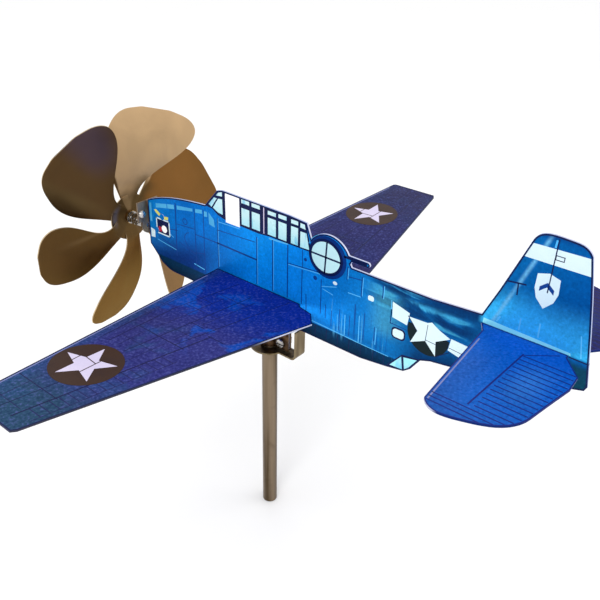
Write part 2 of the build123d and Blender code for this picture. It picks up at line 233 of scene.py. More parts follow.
def with_dark_underside(g, body):
    """Navy on the chin, the belly and the rear fuselage's lower edge."""
    y, z = g.y, g.z
    # the chin and lower nose fall away into navy
    chin_line = g.math("ADD", g.math("MULTIPLY", y, -0.28), g.math("MULTIPLY", z, 1.0))
    chin = g.span(chin_line, 0.2085, 0.237, 0.9, 0.0)
    chin = g.math("MULTIPLY", chin, g.span(y, -0.075, -0.03, 1.0, 0.0))
    body = g.mix(chin, body, srgb(6, 40, 116))
    # the belly below the fuselage's lower seam
    belly = g.math("MULTIPLY", g.span(z, 0.1798, 0.181, 1.0, 0.0), g.span(y, 0.112, 0.122, 1.0, 0.0))
    body = g.mix(belly, body, srgb(2, 50, 86))
    under = g.math("MULTIPLY", g.span(z, 0.1695, 0.1785, 0.8, 0.0), belly)
    body = g.mix(under, body, srgb(1, 30, 50))
    # the rear fuselage darkens towards its lower edge
    keel = g.math("SUBTRACT", z, g.math("MULTIPLY", y, 0.24))
    rear = g.math("MULTIPLY", g.span(keel, 0.158, 0.178, 0.9, 0.0), g.span(y, 0.098, 0.118))
    body = g.mix(rear, body, srgb(2, 44, 92))
    return body


def with_rear_deck(g, body):
    """The seam, the dark top edge and the blotches of the rear deck."""
    y, z = g.y, g.z
    seam = g.math("MULTIPLY", g.band(z, 0.181, 0.186, 0.003), g.band(y, 0.03, 0.1, 0.02))
    body = g.mix(g.math("MULTIPLY", seam, 0.35), body, srgb(2, 66, 128))
    shade_top = g.math("MULTIPLY", g.band(y, 0.082, 0.156, 0.006), g.span(z, 0.2235, 0.2305))
    body = g.mix(g.math("MULTIPLY", shade_top, 0.85), body, srgb(4, 40, 92))
    # light and dark weathering streaks that run along the rear deck
    wash = g.noise(60.0, 4.0, stretch=(1, 0.35, 1.6), distort=1.2, offset=(0.4, 0, 0))
    drift = g.math("ADD", z, g.math("MULTIPLY", wash, 0.014))
    blot = g.math("MAXIMUM", patch(g, drift, 0.09, 0.104, 0.005, 0.2315, 0.2345, 0.002),
                  patch(g, drift, 0.122, 0.147, 0.006, 0.2215, 0.2245, 0.0025))
    gleam = g.math("MAXIMUM", patch(g, drift, 0.078, 0.1, 0.006, 0.2265, 0.228, 0.0016),
                   patch(g, drift, 0.106, 0.142, 0.01, 0.2285, 0.2305, 0.002))
    body = g.mix(g.math("MULTIPLY", gleam, 0.85), body, srgb(72, 184, 232))
    body = g.mix(g.math("MULTIPLY", blot, 0.85), body, srgb(2, 34, 88))
    deck = g.math("MULTIPLY", g.band(y, 0.082, 0.15, 0.01), g.band(z, 0.212, 0.229, 0.003))
    body = g.mix(g.math("MULTIPLY", deck, g.span(wash, 0.5, 0.62, 0.0, 0.75)), body, srgb(70, 176, 220))
    body = g.mix(g.math("MULTIPLY", deck, g.span(wash, 0.4, 0.55, 0.85, 0.0)), body, srgb(2, 48, 100))
    return body


def with_upright_streaks(g, body):
    """Upright light and dark streaks on the lower rear side."""
    y, z = g.y, g.z
    streak = g.noise(420.0, 2.0, stretch=(1, 1, 0.05))
    zone = g.math("MULTIPLY", g.band(y, 0.05, 0.098, 0.006), g.band(z, 0.179, 0.204, 0.004))
    body = g.mix(g.math("MULTIPLY", zone, g.span(streak, 0.6, 0.72, 0.0, 0.7)), body, srgb(96, 186, 236))
    body = g.mix(g.math("MULTIPLY", zone, g.span(streak, 0.3, 0.4, 0.6, 0.0)), body, srgb(6, 70, 150))
    glow = g.math("MULTIPLY", g.band(y, 0.083, 0.1, 0.008), g.band(z, 0.194, 0.222, 0.006))
    body = g.mix(g.math("MULTIPLY", glow, 0.45), body, srgb(84, 176, 196))
    return body


def with_fin_tones(g, body):
    """A fin that is brighter low down, with a pale leading edge, a dark tip and a dark tail cone."""
    y, z = g.y, g.z
    fin = g.math("MULTIPLY", g.span(z, 0.2262, 0.2285), g.span(y, 0.148, 0.152))
    low_fin = g.math("MULTIPLY", fin, g.span(z, 0.234, 0.258, 0.9, 0.0))
    body = g.mix(low_fin, body, srgb(58, 190, 255))
    lead = g.math("SUBTRACT", y, g.math("MULTIPLY", z, 0.385))
    pale = g.math("MULTIPLY", fin, g.band(lead, 0.0672, 0.0688, 0.0012))
    worn = g.span(g.noise(90.0, 2.0), 0.3, 0.6, 0.25, 0.9)
    body = g.mix(g.math("MULTIPLY", pale, worn), body, srgb(112, 190, 234))
    tip = g.math("MULTIPLY", g.span(z, 0.2825, 0.2872), 0.6)
    body = g.mix(tip, body, srgb(8, 50, 120))
    cone = g.math("MULTIPLY", g.span(z, 0.2215, 0.2265, 1.0, 0.0), g.span(y, 0.1955, 0.2))
    return g.mix(g.math("MULTIPLY", cone, 0.9), body, srgb(14, 66, 84))


def fuselage_material():
    g = Graph("printed_fuselage")
    body = with_dark_underside(g, fuselage_blue_and_painted_light(g))
    body = with_rear_deck(g, body)
    body = with_upright_streaks(g, body)
    body = with_fin_tones(g, body)
    body = print_grain(g, body, g.value(body, 1.35), g.value(body, 0.7), 0.5)
    return printed_finish(g, with_cut_edge(g, body, 0), 40.0, 0.3, 0.44, 0.08)


def wing_material(name, tip, middle, root, patch, wash=0.5):
    """Printed wing sheet whose colour drifts from root to tip, with patches of another blue inboard."""
    g = Graph(name)
    out = g.math("ABSOLUTE", g.x)
    wander = g.math("MULTIPLY_ADD", g.noise(22.0, 3.0, distort=0.6), 0.06, -0.03)
    along = g.span(g.math("ADD", out, wander), 0.0, 0.197, 0.0, 1.0, False)
    stops = [(0.0, root), (0.16, root), (0.36, middle), (0.66, middle), (0.84, tip), (1.0, tip)]
    body = g.ramp(along, stops)
    teal = g.span(g.noise(40.0, 3.0, distort=0.7, offset=(0.6, 0.3, 0)), 0.5, 0.68, 0.0, wash)
    body = g.mix(g.math("MULTIPLY", teal, g.span(out, 0.05, 0.09)), body, srgb(44, 82, 132))
    inner = g.span(out, 0.06, 0.1, 1.0, 0.0)
    spots = g.span(g.noise(40.0, 3.0, distort=0.8, offset=(0.25, 0.12, 0)), 0.53, 0.62)
    body = g.mix(g.math("MULTIPLY", inner, spots), body, patch)
    lead = g.span(g.math("SUBTRACT", g.y, g.math("MULTIPLY", out, 0.095)), -0.047, -0.036, 0.6, 0.0)
    body = g.mix(g.math("MULTIPLY", lead, wash * 2), body, srgb(40, 78, 128))
    body = print_grain(g, body, srgb(92, 100, 172), srgb(14, 20, 78), 0.55)
    # the cut edge is bare metal near the root and dark further out
    bare = g.span(out, 0.04, 0.062, 1.0, 0.06)
    rim = g.mix(bare, srgb(20, 16, 36), CUT_EDGE)
    return printed_finish(g, with_cut_edge(g, body, 2, rim), 45.0, 0.36, 0.5, 0.1)


def tailplane_material(name, inner, middle, outer, front_tone, painted_sheen_and_grain=0.5):
    """Printed tailplane sheet whose colour drifts from root to tip, with a band of painted sheen that stands
    in for a reflection.
    """
    g = Graph(name)
    out = g.math("ABSOLUTE", g.x)
    along = g.span(out, 0.0, 0.082, 0.0, 1.0, False)
    body = g.ramp(along, [(0.0, inner), (0.35, inner), (0.75, middle), (1.0, outer)])
    front = g.span(g.math("SUBTRACT", g.y, g.math("MULTIPLY", out, 0.05)), 0.16, 0.178, 0.85, 0.0)
    front = g.math("MULTIPLY", front, g.span(out, 0.012, 0.04))
    body = g.mix(front, body, front_tone)
    # a painted reflection: a lighter band across the sheet, as strong as the last argument
    painted_sheen = g.math("MULTIPLY", g.band(g.y, 0.186, 0.2, 0.008), g.band(out, 0.022, 0.05, 0.012))
    body = g.mix(g.math("MULTIPLY", painted_sheen, painted_sheen_and_grain), body, srgb(72, 150, 232))
    body = print_grain(g, body, srgb(70, 120, 226), srgb(10, 44, 130), 0.1 + painted_sheen_and_grain * 0.6)
    # the cut edge is bare metal at the front and dark elsewhere
    bare = g.span(g.math("SUBTRACT", g.y, g.math("MULTIPLY", out, 0.05)), 0.163, 0.167, 0.8, 0.0)
    rim = g.mix(bare, srgb(14, 40, 104), CUT_EDGE)
    return printed_finish(g, with_cut_edge(g, body, 2, rim), 45.0, 0.34, 0.48, 0.1)


def ink_material(name, colour, wear, roughness=0.4):
    """Printed ink: one colour with slight clouding and fine wear."""
    g = Graph(name)
    cloud = g.noise(70.0, 4.0)
    speck = g.noise(1100.0, 2.0)
    body = g.mix(g.span(cloud, 0.35, 0.7, 0.0, 0.35), colour, wear)
    body = g.mix(g.span(speck, 0.55, 0.8, 0.0, 0.3), body, wear)
    g.bump(speck, 0.06)
    uneven = g.span(cloud, 0.3, 0.7, roughness - 0.06, roughness + 0.06, False)
    return g.finish(body, uneven, 0.2, PRINT_GLOSS)


def glass_ink_material():
    """The canopy's printed panes: pale sky colour, deeper in streaks."""
    g = Graph("ink_sky")
    streak = g.noise(160.0, 2.0, stretch=(1, 1, 0.3))
    cloud = g.noise(120.0, 3.0)
    stops = [(0.0, srgb(160, 238, 252)), (0.5, srgb(206, 250, 255)), (1.0, srgb(216, 252, 255))]
    body = g.ramp(g.span(g.z, 0.228, 0.25, 0.0, 1.0, False), stops)
    body = g.mix(g.span(streak, 0.56, 0.68, 0.0, 0.55), body, srgb(72, 188, 232))
    body = g.mix(g.span(cloud, 0.4, 0.7, 0.0, 0.3), body, srgb(224, 248, 252))
    return g.finish(body, g.span(cloud, 0.3, 0.7, 0.24, 0.36, False), 0.1, PRINT_GLOSS)


# one painted light-and-shade tone per petal, standing in for how each petal catches the light, round the hub
# from below; the first and last are two parts of one petal
FIRST_SEAM = 0.036
PETAL_PAINTED_LIGHT = [srgb(112, 80, 40), srgb(138, 106, 76), srgb(120, 80, 36), srgb(206, 172, 130),
               srgb(84, 60, 34), srgb(84, 58, 30), srgb(112, 80, 40)]


def bronze_material():
    """Satin bronze sheet: fine brushing round the hub, and painted light and shade that differs from petal to
    petal and turns with the rotor.
    """
    g = Graph("rotor_bronze")
    dx = g.x
    dz = g.math("SUBTRACT", g.z, AXLE_Z * MM)
    radius = g.math("SQRT", g.math("ADD", g.math("MULTIPLY", dx, dx), g.math("MULTIPLY", dz, dz)))
    root = g.span(radius, 0.012, 0.034, radians(9), 0.0)
    angle = g.math("SUBTRACT", g.math("ARCTAN2", dx, dz), root)
    turn = g.math("ADD", g.math("DIVIDE", angle, 2 * pi), 0.5)
    stops = []
    for i, tone in enumerate(PETAL_PAINTED_LIGHT):
        first = FIRST_SEAM + (i - 1) / PETALS + 0.003
        stops.append((max(0.0, first), tone))
        stops.append((min(1.0, first + 1 / PETALS - 0.005), tone))
    # painted light and shade: each petal gets its own lit or shaded tone
    painted_petal_light = g.ramp(turn, stops)
    cloud = g.noise(30.0, 4.0, distort=0.8)
    body = g.value(painted_petal_light, g.span(cloud, 0.3, 0.7, 0.84, 1.14, False))
    # a violet patch on one petal and an olive one beside its outer edge
    violet_patch = g.math("MULTIPLY", g.band(turn, 0.548, 0.6, 0.02), g.span(radius, 0.04, 0.068, 0.0, 0.6))
    body = g.mix(violet_patch, body, srgb(72, 62, 88))
    olive = g.math("MULTIPLY", g.band(turn, 0.655, 0.7, 0.015), g.span(radius, 0.02, 0.06, 0.1, 0.5))
    body = g.mix(olive, body, srgb(112, 94, 60))
    # a painted highlight: a soft light streak along one petal
    streak = g.math("MULTIPLY", g.band(turn, 0.744, 0.752, 0.01), g.band(radius, 0.022, 0.062, 0.014))
    body = g.mix(g.math("MULTIPLY", streak, 0.5), body, srgb(136, 112, 82))
    # the hub is darker, with a painted cool reflection round one side and a darker patch creeping up the top
    # petal
    hub = g.span(radius, 0.014, 0.024, 0.75, 0.0)
    body = g.mix(hub, body, srgb(80, 62, 36))
    dark_patch_edge = g.math("ADD", radius, g.math("MULTIPLY", g.noise(120.0, 3.0), 0.014))
    dark_patch = g.math("MULTIPLY", g.band(turn, 0.34, 0.45, 0.03), g.span(dark_patch_edge, 0.032, 0.046, 0.9, 0.0))
    body = g.mix(dark_patch, body, srgb(74, 56, 30))
    # a painted reflection: a cool bluish sheen round one side of the hub
    painted_sheen = g.math("MULTIPLY", g.band(turn, 0.6, 0.76, 0.05), g.band(radius, 0.0135, 0.0165, 0.0025))
    body = g.mix(g.math("MULTIPLY", painted_sheen, 0.8), body, srgb(98, 102, 124))
    rings = g.tree.nodes.new("ShaderNodeTexNoise")
    rings.noise_dimensions = "1D"
    g.put(rings.inputs["W"], g.math("MULTIPLY", radius, 900.0))
    rings.inputs["Detail"].default_value = 3.0
    body = g.mix(g.span(rings.outputs["Fac"], 0.3, 0.7, 0.0, 0.1), body, srgb(200, 170, 124))
    g.bump(rings.outputs["Fac"], 0.05)
    edge = g.span(g.facing(1), 0.35, 0.6, 0.85, 0.0)
    body = g.mix(edge, body, srgb(226, 204, 168))
    return g.finish(body, g.span(cloud, 0.3, 0.7, 0.36, 0.5, False), 0.85, 0.05, (1.0, 0.8, 0.5, 1.0))


def metal_material(name, light, dark, roughness, axis_stretch=(1, 1, 1), scale=220.0, metallic=1.0,
                   offset=(0, 0, 0)):
    """Plain or brushed metal: two tones, brushing along one way, soft stains."""
    g = Graph(name)
    brush = g.noise(scale, 4.0, stretch=axis_stretch, offset=offset)
    stain = g.noise(60.0, 4.0, distort=0.5)
    body = g.mix(g.span(brush, 0.32, 0.68, 0.0, 1.0), dark, light)
    body = g.mix(g.span(stain, 0.5, 0.75, 0.0, 0.4), body, dark)
    g.bump(brush, 0.08)
    uneven = g.span(brush, 0.3, 0.7, roughness - 0.07, roughness + 0.09, False)
    return g.finish(body, uneven, metallic, 0.3)


# ---- thin printed shapes on the sheets -------------------------------------------------------
class Face:
    """A flat printable side of a sheet: where it is, its two directions and its outward normal."""

    def __init__(self, origin, u, v, normal):
        self.origin, self.u, self.v, self.normal = (Vector(p) for p in (origin, u, v, normal))

    def at(self, point, height):
        place = self.origin + self.u * point[0] + self.v * point[1] + self.normal * height
        return place * MM


FUSELAGE = [Face((side * SIDE, 0, 0), (0, 1, 0), (0, 0, 1), (side, 0, 0)) for side in (1, -1)]


def wing_faces(side):
    u = Vector((side * cos(DIHEDRAL), 0, sin(DIHEDRAL)))
    normal = Vector((-side * sin(DIHEDRAL), 0, cos(DIHEDRAL)))
    hinge = Vector((side * (SIDE + FIT), 0, WING_Z)) - u * (SIDE + FIT)
    return [Face(hinge, u, (0, 1, 0), normal), Face(hinge - normal * SKIN, u, (0, 1, 0), -normal)]


def tail_faces(side):
    return [Face((0, 0, TAIL_Z), (side, 0, 0), (0, 1, 0), (0, 0, 1)),
            Face((0, 0, TAIL_Z - SKIN), (side, 0, 0), (0, 1, 0), (0, 0, -1))]


# millimetres: each layer of ink stands this much prouder, and every film starts this deep in its sheet
LAYER = 0.05
SINK = 0.03


def add_prism(bm, face, outline, layer):
    """A closed film of ink: its foot is just inside the sheet and its top a little proud."""
    low = [bm.verts.new(face.at(p, -SINK)) for p in outline]
    high = [bm.verts.new(face.at(p, LAYER * layer)) for p in outline]
    count = len(outline)
    bm.faces.new(low)
    bm.faces.new(high)
    for i in range(count):
        j = (i + 1) % count
        bm.faces.new((low[i], low[j], high[j], high[i]))


def add_object(name, data):
    thing = bpy.data.objects.new(name, data)
    bpy.context.scene.collection.objects.link(thing)
    return thing


def decal(name, faces, outlines, material, layer=1):
    """One printed piece made of flat shapes, repeated on each of the faces."""
    mesh = bpy.data.meshes.new(name)
    bm = bmesh.new()
    for face in faces:
        for outline in outlines:
            add_prism(bm, face, outline, layer)
    bmesh.ops.recalc_face_normals(bm, faces=bm.faces)
    bmesh.ops.triangulate(bm, faces=[f for f in bm.faces if len(f.verts) > 4])
    bm.to_mesh(mesh)
    bm.free()
    mesh.materials.append(material)
    piece = add_object(name, mesh)
    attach(piece, "vane")


def fuselage_print(name, outlines, material, layer=1):
    """One printed piece on both sides of the fuselage sheet."""
    decal(name, FUSELAGE, outlines, material, layer)


def line(a, b, width):
    """A straight stroke as a thin rectangle."""
    a, b = Vector(a), Vector(b)
    along = (b - a).normalized() * width / 2
    across = Vector((-along.y, along.x))
    return [a - along - across, b + along - across, b + along + across, a - along + across]


def polyline(points, width):
    return [line(points[i], points[i + 1], width) for i in range(len(points) - 1)]


def rectangle(low_u, high_u, low_v, high_v):
    return [(low_u, low_v), (high_u, low_v), (high_u, high_v), (low_u, high_v)]


def frame_lines(low_u, high_u, low_v, high_v, width):
    corners = rectangle(low_u, high_u, low_v, high_v)
    return polyline(corners + corners[:1], width)


def ellipse(u, v, radius_u, radius_v=None, start=0.0, end=2 * pi, count=48):
    radius_v = radius_v or radius_u
    closed = end - start > 2 * pi - 0.01
    steps = count if closed else count + 1
    span = [start + (end - start) * i / count for i in range(steps)]
    return [(u + radius_u * cos(a), v + radius_v * sin(a)) for a in span]


def star(u, v, radius, turn, inner=0.4):
    """A five-pointed star whose first tip points along the angle turn."""
    points = []
    for i in range(10):
        r = radius if i % 2 == 0 else radius * inner
        a = turn + i * pi / 5
        points.append((u + r * cos(a), v + r * sin(a)))
    return points


def arc_strip(u, v, inner, outer, start, end, count=24, squash=1.0):
    """A ring or part of one, as short quads, flattened along v by the squash."""
    quads = []
    for i in range(count):
        a = start + (end - start) * i / count
        b = start + (end - start) * (i + 1) / count
        quads.append([(u + r * cos(t), v + r * squash * sin(t))
                      for r, t in ((inner, a), (outer, a), (outer, b), (inner, b))])
    return quads


ON_FACE = 3e-6


def outline_edges(mesh, face):
    """The edges round a flat face, each as a pair of points that are rounded so that copies meet."""
    flat = {}
    for v in mesh.vertices:
        if abs((v.co - face.origin * MM).dot(face.normal)) < ON_FACE:
            flat[v.index] = tuple(round(c / MM, 3) for c in v.co)
    uses = {}
    for polygon in mesh.polygons:
        keys = [flat.get(i) for i in polygon.vertices]
        if None in keys:
            continue
        for pair in map(frozenset, zip(keys, keys[1:] + keys[:1])):
            if len(pair) == 2:
                uses[pair] = uses.get(pair, 0) + 1
    return [pair for pair, count in uses.items() if count == 1]


def ordered_loops(edges):
    """The edges joined end to end into loops of points."""
    links = {}
    for pair in edges:
        a, b = tuple(pair)
        links.setdefault(a, []).append(b)
        links.setdefault(b, []).append(a)
    loops = []
    left = set(links)
    while left:
        before, here = None, min(left)
        loop = []
        while here is not None:
            loop.append(here)
            left.discard(here)
            onward = [k for k in sorted(links[here]) if k != before and k in left]
            before, here = here, onward[0] if onward else None
        loops.append(loop)
    return loops


def outline_of(node, face):
    """The node's outline on one flat face, as an ordered loop in the face's own directions."""
    longest = max(ordered_loops(outline_edges(NODES[node].data, face)), key=len)
    offsets = [Vector(point) - face.origin for point in longest]
    return [Vector((offset.dot(face.u), offset.dot(face.v))) for offset in offsets]


def signed_area(points):
    return sum(a.x * b.y - b.x * a.y for a, b in zip(points, points[1:] + points[:1])) / 2


# a border skips edges shorter than this, in millimetres, and cuts its sharpest corners short
SHORTEST_EDGE = 0.02
SHARPEST_MITRE = 0.45


def border(points, inset, width):
    """A strip that follows an outline on its inner side, as quads with mitred corners."""
    if signed_area(points) < 0:
        points = points[::-1]
    corners = [p for i, p in enumerate(points) if (p - points[i - 1]).length > SHORTEST_EDGE]
    count = len(corners)
    inner, outer = [], []
    for i in range(count):
        before = (corners[i] - corners[i - 1]).normalized()
        after = (corners[(i + 1) % count] - corners[i]).normalized()
        normal = Vector((-before.y - after.y, before.x + after.x))
        if normal.length < 1e-6:
            normal = Vector((-after.y, after.x))
        normal.normalize()
        stretch = 1 / max(SHARPEST_MITRE, normal.dot(Vector((-after.y, after.x))))
        outer.append(corners[i] + normal * inset * stretch)
        inner.append(corners[i] + normal * (inset + width) * stretch)
    return [[outer[i], outer[(i + 1) % count], inner[(i + 1) % count], inner[i]] for i in range(count)]


# ---- inks -----------------------------------------------------------------------------------
NAVY = ink_material("ink_navy", srgb(8, 22, 70), srgb(16, 40, 104))
DEEP = ink_material("ink_deep", srgb(4, 48, 122), srgb(6, 66, 150))
SHEEN = ink_material("ink_sheen", srgb(84, 184, 236), srgb(36, 138, 214))
LINE_BLUE = ink_material("ink_line_blue", srgb(8, 58, 138), srgb(10, 74, 160))
PALE_BLUE = ink_material("ink_pale_blue", srgb(96, 200, 255), srgb(48, 160, 244))
CYAN = ink_material("ink_cyan", srgb(150, 238, 255), srgb(90, 214, 255))
SKY = glass_ink_material()
WHITE = ink_material("ink_white", (0.98, 0.98, 0.98, 1), (0.93, 0.94, 0.97, 1))
ICE = ink_material("ink_ice", srgb(226, 248, 255), srgb(210, 238, 252))
PANE = ink_material("ink_pane", srgb(206, 250, 255), srgb(186, 238, 248))
LILAC = ink_material("ink_lilac", srgb(232, 222, 250), srgb(214, 206, 242))
BROWN = ink_material("ink_brown", srgb(64, 42, 32), srgb(50, 36, 40))
BLACK_GREEN = ink_material("ink_black_green", srgb(6, 30, 34), srgb(4, 18, 44))
WING_LINE = ink_material("ink_wing_line", srgb(16, 18, 70), srgb(30, 34, 98))
WING_RIB = ink_material("ink_wing_rib", srgb(28, 30, 88), srgb(44, 48, 112))
LEAD_LIGHT = ink_material("ink_lead_light", srgb(134, 142, 196), srgb(104, 112, 176))
TAIL_LINE = ink_material("ink_tail_line", srgb(20, 34, 122), srgb(28, 48, 144))
YELLOW = ink_material("ink_yellow", srgb(232, 226, 120), srgb(206, 196, 90))
RED = ink_material("ink_red", srgb(196, 48, 66), srgb(160, 36, 60))


# ---- fuselage artwork -----------------------------------------------------------------------
CANOPY_TOP = 249.6
SILL = 228.4


def draw_canopy():
    shell = [(-57.2, 235.0), (-45.6, 248.2), (-40.9, CANOPY_TOP - 0.1), (17.4, 248.8), (30.4, 247.8),
             (35.0, 230.0), (1.0, 230.0), (-9.0, 229.2), (-39.6, 229.9), (-45.8, 231.4), (-51.0, 234.6)]
    fuselage_print("canopy_frame", [shell], NAVY)
    panes = [[(-46.9, 245.3), (-41.2, 246.0), (-41.2, 249.0), (-44.6, 247.9)],
             [(-54.2, 237.2), (-48.9, 243.4), (-46.2, 243.4), (-51.6, 235.8)],
             [(-50.2, 235.6), (-44.9, 243.5), (-41.2, 243.9), (-41.2, 232.9), (-45.6, 233.4)]]
    bays = [(-23.7, -16.8, 249.0), (-14.6, -7.6, 248.9), (-0.8, 6.0, 247.7), (8.1, 14.8, 247.9),
            (18.5, 24.1, 247.5)]
    for low, high, top in bays:
        panes.append(rectangle(low, high, top - 2.6, top))
        panes.append(rectangle(low, high, 231.2, 243.0))
    panes.append([(25.9, 244.2), (30.0, 243.9), (29.3, 247.0), (25.9, 247.2)])
    panes.append([(26.0, 230.9), (33.2, 231.2), (30.8, 241.6), (26.0, 241.6)])
    fuselage_print("canopy_panes", panes, SKY, 2)
    clear = [(-38.4, SILL), (-25.6, SILL), (-25.6, 249.0), (-38.4, 249.1)]
    fuselage_print("canopy_clear_panel", [clear], WHITE, 2)
    fuselage_print("canopy_post_light", [line((-4.2, 231.0), (-4.2, 248.4), 0.7)], LILAC, 2)


def draw_turret():
    u, v = 46.1, 230.4
    squash = 0.93
    fuselage_print("turret_shade", [ellipse(u + 1.2, v + 0.2, 14.4, 14.0)], DEEP)
    light = arc_strip(u, v, 14.2, 14.6, radians(100), radians(158), 16)
    fuselage_print("turret_light", light, SHEEN, 2)
    fuselage_print("turret_window", [ellipse(u, v, 11.2, 11.2 * squash)], PANE, 2)
    ring = arc_strip(u, v, 10.9, 13.0, 0, 2 * pi, 48, squash)
    bars = [line((u - 11, v + 0.2), (u + 11, v), 1.2),
            line((u + 0.6, v + 10.2), (u - 0.4, v - 10.2), 1.2)]
    fuselage_print("turret_ring", ring + bars, NAVY, 3)
    fuselage_print("gun_barrel_dark", [line((60.5, 235.6), (75.4, 235.6), 1.5)], NAVY)


def draw_insignia():
    disc = [(u, min(v, 208.6 - 0.1 * (u - 120.4))) for u, v in ellipse(120.6, 206.2, 13.6)]
    fuselage_print("insignia_disc", [disc], BLACK_GREEN)
    points = [(107.2, 213.2), (113.6, 206.0), (109.8, 196.9), (119.3, 201.7), (126.7, 194.2), (125.9, 203.9),
              (134.7, 209.2), (127.6, 212.0), (124.8, 213.6), (122.2, 215.2), (119.6, 213.8)]
    bars = [[(95.8, 218.6), (107.6, 215.4), (106.6, 206.9), (96.4, 208.4)],
            [(135.2, 209.7), (147.5, 209.0), (143.0, 199.6), (134.0, 201.7)]]
    fuselage_print("insignia_star", [points] + bars, ICE, 2)
    creases = [line((119.4, 201.8), (119.9, 212.6), 0.35), line((119.4, 202.4), (126.4, 202.0), 0.35),
               line((134.6, 203.5), (144.4, 202.8), 0.35)]
    edges = [line((107.0, 213.4), (113.4, 206.0), 0.5), line((126.7, 194.0), (134.9, 200.4), 0.4)]
    fuselage_print("insignia_lines", creases + edges, NAVY, 3)


def rounded_rectangle(low_u, high_u, low_v, high_v, r):
    points = []
    for cu, cv, start in ((high_u - r, high_v - r, 0), (low_u + r, high_v - r, pi / 2),
                          (low_u + r, low_v + r, pi), (high_u - r, low_v + r, 3 * pi / 2)):
        points += ellipse(cu, cv, r, start=start, end=start + pi / 2, count=6)
    return points


def draw_windows():
    fuselage_print("side_window_rim", [rounded_rectangle(96.6, 106.2, 194.8, 202.6, 2.6)], NAVY)
    fuselage_print("side_window", [rounded_rectangle(97.6, 105.2, 195.9, 201.5, 2.0)], ICE, 2)
    rim = [(95.4, 174.0), (105.4, 185.8), (117.2, 187.4), (111.2, 178.6), (107.0, 175.2), (101.0, 173.9)]
    fuselage_print("ventral_rim", [rim], NAVY)
    panes = [[(97.6, 175.0), (105.0, 184.2), (106.4, 175.6)],
             [(106.6, 184.4), (115.6, 186.2), (110.4, 178.6), (107.8, 176.4)]]
    fuselage_print("ventral_window", panes, SKY, 2)
    lamps = [ellipse(54.0, 215.4, 1.6, 1.2), rounded_rectangle(78.6, 82.8, 213.2, 216.6, 1.2)]
    fuselage_print("small_lamps", lamps, ICE)


def draw_panel_lines():
    dark = [line((-88.6, 227.5), (-90.6, 186.0), 0.9), line((-69.2, 229.0), (-69.8, 183.0), 0.6),
            line((-60.2, 230.7), (-61.0, 182.0), 0.6), line((-46.6, 228.8), (-47.2, 191.2), 0.6),
            line((-10.6, 226.0), (-10.8, 191.2), 0.7), line((3.2, 228.2), (3.2, 191.2), 0.7),
            line((16.0, 228.8), (16.0, 191.2), 0.8), line((28.0, 215.4), (28.0, 190.8), 0.6),
            line((28.0, 229.2), (28.2, 217.2), 0.5), line((31.6, 199.0), (32.0, 187.0), 0.6),
            line((43.4, 214.0), (43.6, 190.0), 0.6), line((88.6, 226.5), (88.6, 218.5), 0.6),
            line((-88.0, 212.0), (-69.4, 213.6), 0.5), line((-69.4, 209.6), (-46.8, 210.0), 0.6),
            line((-46.8, 210.0), (-11.0, 209.4), 1.2), line((-88.0, 207.0), (-110.0, 203.0), 0.5),
            line((-46.8, 220.0), (-12.0, 222.0), 0.5), line((-87.0, 198.0), (-70.0, 194.0), 0.5),
            line((17.0, 216.4), (42.0, 218.6), 0.6), line((-69.8, 195.0), (-61.0, 197.0), 0.5),
            line((62.8, 229.6), (62.6, 221.0), 0.6), line((73.6, 226.4), (73.6, 213.6), 0.6),
            line((64.0, 223.4), (73.6, 224.6), 0.6), line((95.4, 213.0), (95.4, 204.0), 0.7),
            line((95.4, 204.0), (106.5, 203.6), 0.5)]
    dark += polyline([(-110, 196.5), (-104, 194.5), (-92, 192.0)], 0.5)
    dark += arc_strip(-79.5, 216.4, 1.9, 2.5, 0, 2 * pi, 20)
    dark += arc_strip(-75.0, 203.0, 5.6, 6.1, radians(100), radians(260), 16)
    dark += arc_strip(38.6, 213.6, 0.0, 1.5, 0, 2 * pi, 12)
    dark += arc_strip(30.4, 223.6, 0.0, 1.2, 0, 2 * pi, 12)
    uprights = [(58.6, 183.5, 198.5), (66.4, 182.5, 197.0), (77.2, 184.0, 203.5), (84.8, 186.5, 196.5),
                (70.0, 192.0, 206.5), (52.4, 184.0, 195.0), (47.6, 188.0, 197.5)]
    dark += [line((y, low), (y, high), 0.45) for y, low, high in uprights]
    fuselage_print("fuselage_panel_lines", dark, LINE_BLUE)
    ribs = [line((y, 172.6), (y, 179.8), 0.45) for y in (40.0, 49.0, 58.0, 67.0, 76.0, 85.0, 93.0)]
    fuselage_print("belly_ribs", ribs, NAVY)
    pale = [line((35.0, 181.7), (75.4, 180.4), 0.5), line((75.4, 180.4), (96.0, 180.2), 0.45),
            line((17.0, 215.6), (42.0, 217.6), 0.5), line((-46.0, 226.4), (-26.0, 227.2), 0.5),
            line((0.6, 228.6), (15.6, 229.6), 1.0), line((-46.0, 228.6), (-46.4, 192.0), 0.35),
            line((-9.9, 225.6), (-10.1, 191.4), 0.35), line((4.0, 227.6), (4.0, 191.6), 0.35),
            line((63.6, 229.0), (63.4, 222.0), 0.5), line((74.4, 226.2), (74.4, 214.2), 0.4),
            line((64.2, 212.6), (73.0, 213.0), 0.5), line((45.0, 208.0), (52.6, 206.6), 0.45),
            line((89.4, 226.0), (89.4, 218.0), 0.5), line((63.0, 180.9), (62.8, 196.0), 0.55),
            line((73.8, 180.8), (73.4, 199.6), 0.55), line((86.0, 184.5), (86.0, 196.0), 0.4),
            line((57.4, 182.0), (57.0, 194.0), 0.35), line((44.0, 209.5), (55.0, 213.0), 0.4),
            line((-72.0, 185.4), (-62.0, 184.2), 0.6), line((-108.0, 207.4), (-93.0, 199.8), 0.4)]
    pale += [line((-111.0, 192.8), (-91.0, 190.4), 0.4), line((95.0, 219.0), (95.8, 204.0), 0.5)]
    fuselage_print("fuselage_pale_lines", pale, PALE_BLUE)


